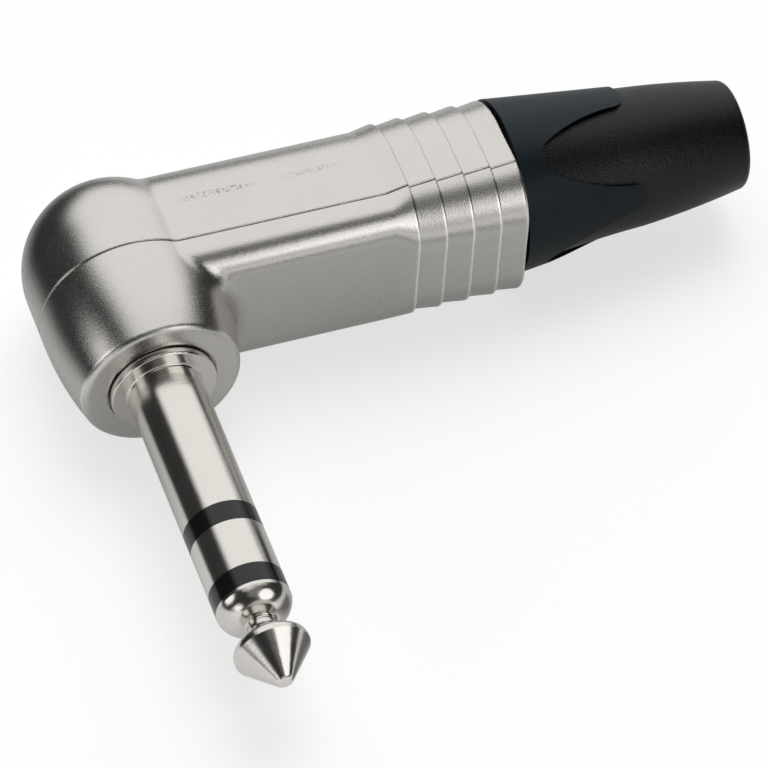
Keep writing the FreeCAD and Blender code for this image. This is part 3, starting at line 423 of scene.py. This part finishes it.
class Finish:
    """A material under construction: its tree, its shader and its object coordinates."""

    def __init__(self, name, metallic, roughness, color):
        self.material = bpy.data.materials.new(name)
        self.material.use_nodes = True
        self.tree = self.material.node_tree
        self.shader = self.tree.nodes["Principled BSDF"]
        self.shader.inputs["Metallic"].default_value = metallic
        self.shader.inputs["Roughness"].default_value = roughness
        self.shader.inputs["Base Color"].default_value = (*color, 1.0)
        self.material.diffuse_color = (*color, 1.0)
        coordinates = self.tree.nodes.new("ShaderNodeTexCoord")
        self.place = coordinates.outputs["Object"]

    def mapped(self, scale):
        """Object coordinates stretched by a scale along each axis."""
        node = self.tree.nodes.new("ShaderNodeMapping")
        node.inputs["Scale"].default_value = scale
        self.tree.links.new(self.place, node.inputs["Vector"])
        return node.outputs["Vector"]

    def group(self, name, vector=None, **values):
        """One of the shader groups, with its own values."""
        node = self.tree.nodes.new("ShaderNodeGroup")
        node.node_tree = bpy.data.node_groups[name]
        self.tree.links.new(vector or self.place, node.inputs["Vector"])
        for key, value in values.items():
            node.inputs[key.replace("_", " ")].default_value = value
        return node.outputs

    def drift(self, tone, rough, patch):
        """Let the colour and the roughness wander, stacked on any drift before it."""
        out = self.group("finish_drift", Tone_Drift=tone, Roughness_Drift=rough, Patch_Size=patch)
        node = out["Color"].node
        for socket, name in ((self.shader.inputs["Base Color"], "Color"),
                             (self.shader.inputs["Roughness"], "Roughness")):
            before = socket.links[0].from_socket if socket.links else socket.default_value
            feed(self.tree, node.inputs[name], before)
            self.tree.links.new(out[name], socket)

    def bump(self, height, distance):
        """Relief from a height, stacked on any relief before it."""
        node = self.tree.nodes.new("ShaderNodeBump")
        node.inputs["Strength"].default_value = 1.0
        node.inputs["Distance"].default_value = distance
        self.tree.links.new(height, node.inputs["Height"])
        before = self.shader.inputs["Normal"]
        if before.links:
            self.tree.links.new(before.links[0].from_socket, node.inputs["Normal"])
        self.tree.links.new(node.outputs["Normal"], before)

    def grain(self, speck, depth, vector=None):
        """Relief of fine specks, each about so wide and so high."""
        grain = self.group("fine_grain", vector, Speck_Size=speck)
        self.bump(grain["Height"], depth)

    def tint(self, mask, shade):
        """Turn the drifting colour towards a shade, as far as the mask says."""
        node = self.tree.nodes.new("ShaderNodeMix")
        node.data_type = "RGBA"
        socket = self.shader.inputs["Base Color"]
        colors = [port for port in node.inputs if port.type == "RGBA"]
        self.tree.links.new(mask, node.inputs["Factor"])
        self.tree.links.new(socket.links[0].from_socket, colors[0])
        colors[1].default_value = (*shade, 1.0)
        result = [port for port in node.outputs if port.type == "RGBA"][0]
        self.tree.links.new(result, socket)

    def soften_edges(self, radius, rim_radius):
        """Round the shading over sharp edges, and more widely over the shoulder's rim."""
        place = split(self.tree, self.place)
        rim = rim_mask(self.tree, place, SOFT_RIM_RADII, SOFT_RIM_DEPTHS)
        node = self.tree.nodes.new("ShaderNodeBevel")
        node.samples = 8
        width = remap(self.tree, rim, 0.0, 1.0, radius, rim_radius)
        self.tree.links.new(width, node.inputs["Radius"])
        self.tree.links.new(node.outputs["Normal"], self.shader.inputs["Normal"])


def shaded(color, share):
    """A share of a colour."""
    return [share * part for part in color]


def satin_nickel(settings):
    finish = Finish("satin_nickel", metallic=1.0, roughness=settings.roughness,
                    color=settings.color)
    finish.soften_edges(settings.edge_round, settings.rim_round)
    finish.drift(tone=0.04, rough=0.08, patch=0.006)
    finish.drift(tone=0.17, rough=0.30, patch=1.2 * settings.grain_size)
    rubs = finish.group("rub_marks", Mark_Size=0.00025)
    finish.tint(rubs["Mask"], shaded(settings.color, share=0.50))
    # Painted highlights: the rings' crests on the flat face and the shoulder's rim are tinted
    # towards white.
    crests = finish.group("painted_edge_highlights", Start=settings.crest_start,
                          Pitch=settings.crest_pitch)
    finish.tint(crests["Mask"], shade=(1.0, 0.99, 0.97))
    seam = finish.group("seam_line", Level=settings.seam_level, Width=settings.seam_width)
    # The seam's dark line: painted shade in the crevice, with dirt in it.
    finish.tint(seam["Mask"], shaded(settings.color, share=0.40))
    finish.bump(seam["Ledge"], settings.seam_ledge)
    finish.grain(settings.grain_size, settings.grain_depth)
    return finish.material


def bright_nickel(settings):
    finish = Finish("bright_nickel", metallic=1.0, roughness=settings.roughness,
                    color=settings.color)
    finish.drift(tone=0.04, rough=0.08, patch=0.003)
    turned_lines = finish.mapped(scale=(0.02, 1.0, 0.02))
    finish.grain(speck=0.00008, depth=0.000003, vector=turned_lines)
    finish.grain(speck=0.00025, depth=0.000004)
    return finish.material


def band_plastic(settings):
    finish = Finish("band_plastic", metallic=0.0, roughness=0.16, color=settings.band_color)
    finish.drift(tone=0.2, rough=0.08, patch=0.002)
    finish.grain(speck=0.0003, depth=0.000003)
    return finish.material


def collar_plastic(settings):
    finish = Finish("collar_plastic", metallic=0.0, roughness=0.40, color=settings.collar_color)
    finish.shader.inputs["Specular IOR Level"].default_value = 0.26
    finish.drift(tone=0.10, rough=0.10, patch=0.004)
    finish.drift(tone=0.5, rough=0.06, patch=0.00012)
    finish.grain(speck=0.00012, depth=0.000005)
    return finish.material


def gland_rubber(settings):
    finish = Finish("gland_rubber", metallic=0.0, roughness=0.34, color=settings.gland_color)
    finish.shader.inputs["Specular IOR Level"].default_value = 0.38
    finish.drift(tone=0.25, rough=0.15, patch=0.003)
    finish.drift(tone=1.4, rough=0.30, patch=0.00012)
    finish.grain(settings.pebble_size, settings.pebble_depth)
    return finish.material


def plain_finish(name, metallic, roughness, color, speck):
    """A simple finish with its own grain, for the pieces inside."""
    finish = Finish(name, metallic, roughness, color)
    finish.drift(tone=0.10, rough=0.10, patch=0.003)
    finish.grain(speck, depth=0.03 * speck)
    return finish.material


def wear(material, *nodes):
    """Give CAD nodes their material."""
    for node in nodes:
        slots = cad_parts[node].data.materials
        slots.clear()
        slots.append(material)


# Modelling

def select_only(thing):
    bpy.ops.object.select_all(action="DESELECT")
    thing.select_set(True)
    bpy.context.view_layer.objects.active = thing


def settle(thing, name, body):
    """Name a finished piece, put its place into its mesh and let it ride on its body."""
    select_only(thing)
    bpy.ops.object.transform_apply(location=True, rotation=True, scale=True)
    thing.name = name
    thing.data.name = name
    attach(thing, body)


# Directions in the studio

def way_out(turn, rise):
    """The way out from the plug, by a turn from the front (-Y) towards +X and by a rise."""
    level = math.cos(rise)
    return Vector((math.sin(turn) * level, -math.cos(turn) * level, math.sin(rise)))


# Operators, one for each group of pieces and one for the stage

class DRESS_OT_groups(bpy.types.Operator):
    """Make the shader groups that the finishes use"""
    bl_idname = "dress.shader_groups"
    bl_label = "Make shader groups"

    def execute(self, context):
        fine_grain_group()
        finish_drift_group()
        rub_marks_group()
        seam_line_group()
        painted_edge_highlights_group()
        return {"FINISHED"}


class DRESS_OT_shell(bpy.types.Operator):
    """Give both halves of the shell their satin nickel"""
    bl_idname = "dress.shell"
    bl_label = "Finish the shell"

    def execute(self, context):
        wear(satin_nickel(context.scene.shell_finish), "shell_base", "shell_cover")
        return {"FINISHED"}


class DRESS_OT_finger(bpy.types.Operator):
    """Give the contacts their bright nickel and the bands their gloss"""
    bl_idname = "dress.finger"
    bl_label = "Finish the finger"

    def execute(self, context):
        settings = context.scene.contact_finish
        wear(bright_nickel(settings), "plug_sleeve", "ring_contact", "tip_contact")
        wear(band_plastic(settings), "sleeve_insulator", "tip_insulator")
        return {"FINISHED"}


class DRESS_OT_inside(bpy.types.Operator):
    """Finish the lugs, washers, liner and chuck inside"""
    bl_idname = "dress.inside"
    bl_label = "Finish the inside"

    def execute(self, context):
        tin = plain_finish("tinned_brass", metallic=1.0, roughness=0.33,
                           color=(0.72, 0.68, 0.58), speck=0.0003)
        wear(tin, "sleeve_lug", "ring_lug", "tip_lug")
        fibre = plain_finish("fibre_washer", metallic=0.0, roughness=0.70,
                             color=(0.36, 0.20, 0.09), speck=0.0002)
        wear(fibre, "ring_lug_washer", "tip_lug_washer")
        film = plain_finish("liner_film", metallic=0.0, roughness=0.40,
                            color=(0.72, 0.72, 0.69), speck=0.0005)
        wear(film, "insulating_liner")
        nylon = plain_finish("chuck_nylon", metallic=0.0, roughness=0.45,
                             color=(0.03, 0.03, 0.032), speck=0.0003)
        wear(nylon, "strain_relief_chuck")
        return {"FINISHED"}


class DRESS_OT_boot(bpy.types.Operator):
    """Give the collar and the gland of the boot their black finishes"""
    bl_idname = "dress.boot"
    bl_label = "Finish the boot"

    def execute(self, context):
        settings = context.scene.boot_finish
        wear(collar_plastic(settings), "boot_collar")
        wear(gland_rubber(settings), "boot_gland")
        return {"FINISHED"}


class DRESS_OT_thread(bpy.types.Operator):
    """Wind the screw thread on the shell's spigot"""
    bl_idname = "dress.thread"
    bl_label = "Wind the thread"

    def execute(self, context):
        sizes = context.scene.thread_sizes
        thread = self.draw_profile(sizes)
        self.wind(thread, sizes)
        bpy.ops.object.shade_smooth_by_angle(angle=math.radians(35))
        thread.data.materials.append(bpy.data.materials["satin_nickel"])
        settle(thread, "spigot_thread", "shell")
        return {"FINISHED"}

    def draw_profile(self, sizes):
        """The outline of one thread, sunk a little into the core and narrow at its crest."""
        sunk = 0.03 * sizes.pitch
        root = sizes.core_radius - sunk
        root_width = 0.75 * sizes.pitch
        crest_share = 0.2
        hair = 1e-6
        bpy.ops.object.select_all(action="DESELECT")
        bpy.ops.mesh.primitive_plane_add(size=1.0, location=(sizes.start, BARREL_AXIS, 0.0))
        thread = bpy.context.object
        bpy.ops.object.mode_set(mode="EDIT")
        bpy.ops.transform.resize(value=(root_width, sizes.crest_radius - root, 1.0))
        bpy.ops.transform.translate(value=(0.0, (root + sizes.crest_radius) / 2, 0.0))
        bpy.ops.mesh.select_all(action="DESELECT")
        bpy.ops.object.mode_set(mode="OBJECT")
        crest = max(vertex.co.y for vertex in thread.data.vertices)
        for vertex in thread.data.vertices:
            vertex.select = vertex.co.y > crest - hair
        for edge in thread.data.edges:
            edge.select = all(thread.data.vertices[i].select for i in edge.vertices)
        bpy.ops.object.mode_set(mode="EDIT")
        bpy.ops.transform.resize(value=(crest_share, 1.0, 1.0))
        bpy.ops.mesh.select_all(action="SELECT")
        bpy.ops.mesh.delete(type="ONLY_FACE")
        bpy.ops.object.mode_set(mode="OBJECT")
        return thread

    def wind(self, thread, sizes):
        """Turn the outline round the barrel's axis, and close the thread's two ends."""
        whole_turns = int(sizes.turns)
        share = sizes.turns / whole_turns
        screw = thread.modifiers.new("winding", "SCREW")
        screw.axis = "X"
        screw.angle = 2 * math.pi * share
        screw.screw_offset = sizes.pitch * share
        screw.iterations = whole_turns
        screw.steps = screw.render_steps = sizes.steps
        bpy.ops.object.modifier_apply(modifier=screw.name)
        bpy.ops.object.mode_set(mode="EDIT")
        bpy.ops.mesh.select_all(action="SELECT")
        bpy.ops.mesh.fill_holes(sides=4)
        bpy.ops.mesh.remove_doubles(threshold=1e-7)
        bpy.ops.mesh.normals_make_consistent(inside=False)
        bpy.ops.object.mode_set(mode="OBJECT")


class DRESS_OT_stage(bpy.types.Operator):
    """Set up the camera, the floor and the soft studio light"""
    bl_idname = "dress.stage"
    bl_label = "Set the stage"

    def execute(self, context):
        look = context.scene.studio_look
        self.place_camera(context, look)
        self.lay_floor(look)
        self.light_room(context, look)
        self.hang_lamps(context, look)
        context.scene.view_settings.view_transform = "Standard"
        return {"FINISHED"}

    def place_camera(self, context, look):
        turn, rise, roll = (math.radians(x) for x in (look.azimuth, look.elevation, look.roll))
        back = way_out(turn, rise)
        level = Vector((math.cos(turn), math.sin(turn), 0.0))
        upright = back.cross(level)
        right = math.cos(roll) * level + math.sin(roll) * upright
        up = math.cos(roll) * upright - math.sin(roll) * level
        data = bpy.data.cameras.new("camera")
        data.lens = look.lens
        data.sensor_width = 36.0
        data.clip_start = 0.01
        data.clip_end = 50.0
        camera = bpy.data.objects.new("camera", data)
        context.scene.collection.objects.link(camera)
        rotation = Matrix((right, up, back)).transposed().to_4x4()
        camera.matrix_world = Matrix.Translation(Vector(look.aim) + back * look.distance) @ rotation
        context.scene.camera = camera

    def lay_floor(self, look):
        level = cad_box[0].z
        bpy.ops.object.select_all(action="DESELECT")
        bpy.ops.mesh.primitive_plane_add(size=12.0, location=(0.0, 0.0, level))
        floor = bpy.context.object
        floor.name = "studio_floor"
        floor.data.materials.append(self.floor_finish(look))

    def floor_finish(self, look):
        """A matt floor that keeps the shadow and glows for the camera; for metal it carries painted
        reflections, darker and paler patches.
        """
        finish = Finish("studio_floor", metallic=0.0, roughness=0.9, color=look.floor_color)
        tree, shader = finish.tree, finish.shader
        shader.inputs["Specular IOR Level"].default_value = 0.1
        finish.drift(tone=0.01, rough=0.05, patch=0.05)
        rays = tree.nodes.new("ShaderNodeLightPath").outputs
        place = split(tree, finish.place)
        # Metal sees painted reflections here: for glossy rays only, the floor is tinted dark in
        # some patches and glows paler in others.
        dark = math_node(tree, "MULTIPLY", rays["Is Glossy Ray"], self.painted_dark_reflections(tree, place))
        finish.tint(dark, shade=(0.03, 0.03, 0.03))
        lit = math_node(tree, "SUBTRACT", rays["Is Glossy Ray"], dark)
        pale = math_node(tree, "MULTIPLY_ADD", lit, look.mirrored,
                         self.painted_pale_reflections(tree, place, lit))
        seen = math_node(tree, "ADD", rays["Is Camera Ray"], rays["Is Transmission Ray"])
        glow = math_node(tree, "MULTIPLY_ADD", seen, look.backdrop, pale)
        shader.inputs["Emission Color"].default_value = (1.0, 1.0, 1.0, 1.0)
        tree.links.new(glow, shader.inputs["Emission Strength"])
        return finish.material

    def painted_dark_reflections(self, tree, place):
        """Where the floor is painted dark for metal only, as painted dark reflections: behind at
        the left, and close by ahead of the barrel.
        """
        left_share, back_share = 0.8, 0.6
        far_start, far_full = 0.014, 0.044
        near_x, near_half_x = 0.0240, 0.0160
        near_y, near_half_y = -0.0310, 0.0085
        near_strength = 0.75
        left = math_node(tree, "MULTIPLY", place["X"], -left_share)
        behind = math_node(tree, "MULTIPLY_ADD", place["Y"], back_share, left)
        far = remap(tree, behind, far_start, far_full)
        sideways = band_mask(tree, place["X"], near_x, near_half_x, soft=0.4)
        forward = band_mask(tree, place["Y"], near_y, near_half_y, soft=0.5)
        patch = math_node(tree, "MULTIPLY", sideways, forward)
        near = math_node(tree, "MULTIPLY", patch, near_strength)
        return math_node(tree, "MAXIMUM", far, near)

    def painted_pale_reflections(self, tree, place, lit):
        """How much paler metal sees the lit floor, a painted glow for reflections: ahead of the
        finger, and ahead at the left.
        """
        ahead_full, ahead_start, ahead_gain = -0.07, -0.02, 0.17
        aside_full, aside_start, aside_gain = -0.028, -0.008, 0.20
        ahead = math_node(tree, "MULTIPLY", lit, place["Y"])
        slant = math_node(tree, "ADD", place["X"], place["Y"])
        aside = math_node(tree, "MULTIPLY", lit, slant)
        return math_node(tree, "ADD",
                         remap(tree, ahead, ahead_full, ahead_start, ahead_gain, 0.0),
                         remap(tree, aside, aside_full, aside_start, aside_gain, 0.0))

    def light_room(self, context, look):
        """A dim room with round patches of light; angles are in degrees."""
        world = bpy.data.worlds.new("studio_room")
        world.use_nodes = True
        context.scene.world = world
        tree = world.node_tree
        background = tree.nodes["Background"]
        background.inputs["Color"].default_value = (1.0, 1.0, 1.0, 1.0)
        direction = tree.nodes.new("ShaderNodeTexCoord").outputs["Generated"]
        # Turn and rise of the centre, outer and inner angle of the soft edge, brightness
        lights = (
            (163.0, 47.0, 49.0, 35.0, look.back_light),
            (155.0, 12.0, 34.0, 20.0, 0.9 * look.back_light),
            (-150.0, 74.0, 30.0, 12.0, 0.85 * look.back_light),
            (-93.0, 20.0, 20.0, 11.0, look.left_light),
            (-44.0, 9.0, 17.0, 7.0, look.left_light),
            (10.0, 2.0, 34.0, 20.0, look.wall_light),
            (-48.0, -2.0, 22.0, 10.0, 0.9 * look.wall_light),
            (10.0, 66.0, 30.0, 12.0, 0.35 * look.wall_light),
        )
        level = look.room_light
        for *angles, brightness in lights:
            patch = self.soft_light(tree, direction, *map(math.radians, angles), brightness)
            level = math_node(tree, "MAXIMUM", patch, level)
        tree.links.new(level, background.inputs["Strength"])

    def soft_light(self, tree, direction, turn, rise, outer, inner, brightness):
        """A round patch of light in the room, with a soft edge between two angles."""
        facing = tree.nodes.new("ShaderNodeVectorMath")
        facing.operation = "DOT_PRODUCT"
        tree.links.new(direction, facing.inputs[0])
        facing.inputs[1].default_value = way_out(turn, rise)
        return remap(tree, facing.outputs["Value"], math.cos(outer), math.cos(inner),
                     0.0, brightness)

    def hang_lamps(self, context, look):
        """A wide fill that only matt things see, and a small softbox that only gloss sees."""
        softbox = 0.085
        power = look.front_light * math.pi * math.pi * (softbox / 2) ** 2
        # Name, shape, place, size, power, and whether gloss sees it
        lamps = (
            ("fill", "SQUARE", (0.20, 0.50, 1.00), 0.8, 5.0, False),
            ("softbox", "DISK", (0.060, -0.090, 0.070), softbox, power, True),
        )
        for name, shape, place, size, energy, mirrored in lamps:
            data = bpy.data.lights.new(name, "AREA")
            data.shape = shape
            data.size = size
            data.energy = energy
            lamp = bpy.data.objects.new(name, data)
            context.scene.collection.objects.link(lamp)
            lamp.location = place
            lamp.rotation_euler = Vector(place).to_track_quat("Z", "Y").to_euler()
            lamp.visible_camera = False
            lamp.visible_glossy = mirrored
            lamp.visible_diffuse = not mirrored


class DRESS_PT_panel(bpy.types.Panel):
    """Lists the steps that dress the plug, with their sizes and colours"""
    bl_idname = "DRESS_PT_panel"
    bl_label = "Jack plug"
    bl_space_type = "VIEW_3D"
    bl_region_type = "UI"
    bl_category = "Jack plug"

    def draw(self, context):
        for step in STEPS:
            self.layout.operator(step.bl_idname)
        for name in SETTINGS:
            box = self.layout.box()
            group = getattr(context.scene, name)
            for key in group.bl_rna.properties.keys():
                if key not in ("rna_type", "name"):
                    box.prop(group, key)


SETTINGS = {
    "shell_finish": ShellFinish,
    "contact_finish": ContactFinish,
    "boot_finish": BootFinish,
    "thread_sizes": ThreadSizes,
    "studio_look": StudioLook,
}

STEPS = (
    DRESS_OT_groups,
    DRESS_OT_shell,
    DRESS_OT_finger,
    DRESS_OT_inside,
    DRESS_OT_boot,
    DRESS_OT_thread,
    DRESS_OT_stage,
)


def register():
    for cls in (*SETTINGS.values(), *STEPS, DRESS_PT_panel):
        bpy.utils.register_class(cls)
    for name, cls in SETTINGS.items():
        setattr(bpy.types.Scene, name, PointerProperty(type=cls))


def unregister():
    for name in SETTINGS:
        delattr(bpy.types.Scene, name)
    for cls in reversed((*SETTINGS.values(), *STEPS, DRESS_PT_panel)):
        bpy.utils.unregister_class(cls)


def main():
    register()
    for step in STEPS:
        family, name = step.bl_idname.split(".")
        getattr(getattr(bpy.ops, family), name)()


if __name__ == "__main__":
    main()
